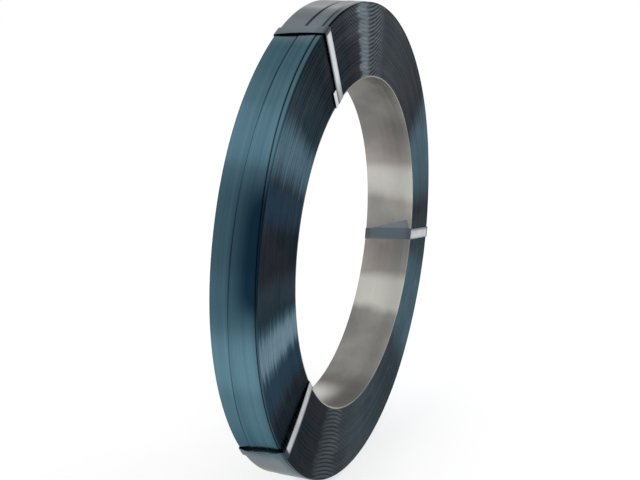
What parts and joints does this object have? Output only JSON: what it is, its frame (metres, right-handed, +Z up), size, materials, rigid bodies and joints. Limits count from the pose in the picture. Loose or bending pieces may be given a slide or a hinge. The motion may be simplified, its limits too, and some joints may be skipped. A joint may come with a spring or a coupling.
{
  "type": "steel strapping coil",
  "caption": "Coil of blued steel strapping wound on a bare steel sleeve, open through the middle and held by cross ties round its section.",
  "frame": {"origin": "middle of the bore, on the coil's axis, halfway along its width", "axes": "+Y along the coil's axis away from the front face, +Z up, +X to the right seen from the front"},
  "size_m": [0.585, 0.0672, 0.585],
  "materials": {
    "blued_strapping": "satin",
    "bare_steel": "satin",
    "tie_strap": "gloss"
  },
  "bodies": {
    "root": {"strap_coil": "blued_strapping", "core_sleeve": "bare_steel", "tie_upper": "tie_strap", "tie_lower": "tie_strap", "tie_right": "tie_strap"}
  },
  "joints": []
}
